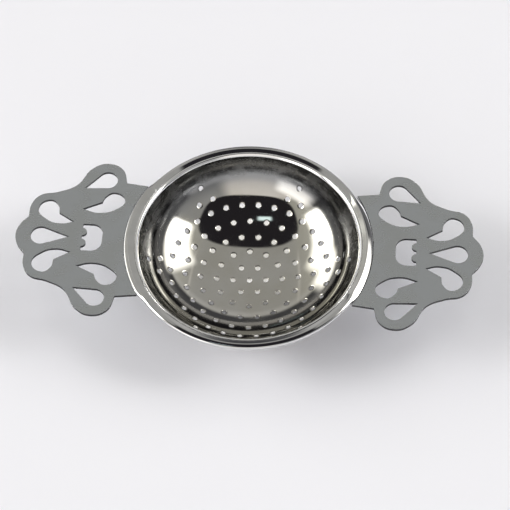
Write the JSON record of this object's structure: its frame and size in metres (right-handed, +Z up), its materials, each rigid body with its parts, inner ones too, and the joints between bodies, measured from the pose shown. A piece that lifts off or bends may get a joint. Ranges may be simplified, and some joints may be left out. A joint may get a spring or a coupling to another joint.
{
  "type": "tea strainer",
  "caption": "Shallow perforated metal bowl with a rolled rim and a flat pierced handle on each side, for straining tea into a cup.",
  "frame": {"origin": "on the surface under the middle of the bowl, at the centre of the bounding box's base", "axes": "+X along the right handle, +Y across the handles, +Z up out of the bowl's mouth"},
  "size_m": [0.1524, 0.0798, 0.0227],
  "materials": {
    "bowl_metal": "bright polished",
    "rim_metal": "bright polished",
    "saddle_metal": "bright polished",
    "handle_metal": "polished flat sheet",
    "solder": "dull"
  },
  "bodies": {
    "root": {"strainer_bowl": "bowl_metal", "rim_ring": "rim_metal", "left_saddle": "saddle_metal", "right_saddle": "saddle_metal", "left_handle": "handle_metal", "right_handle": "handle_metal", "left_solder_seam": "solder", "right_solder_seam": "solder"}
  },
  "joints": []
}
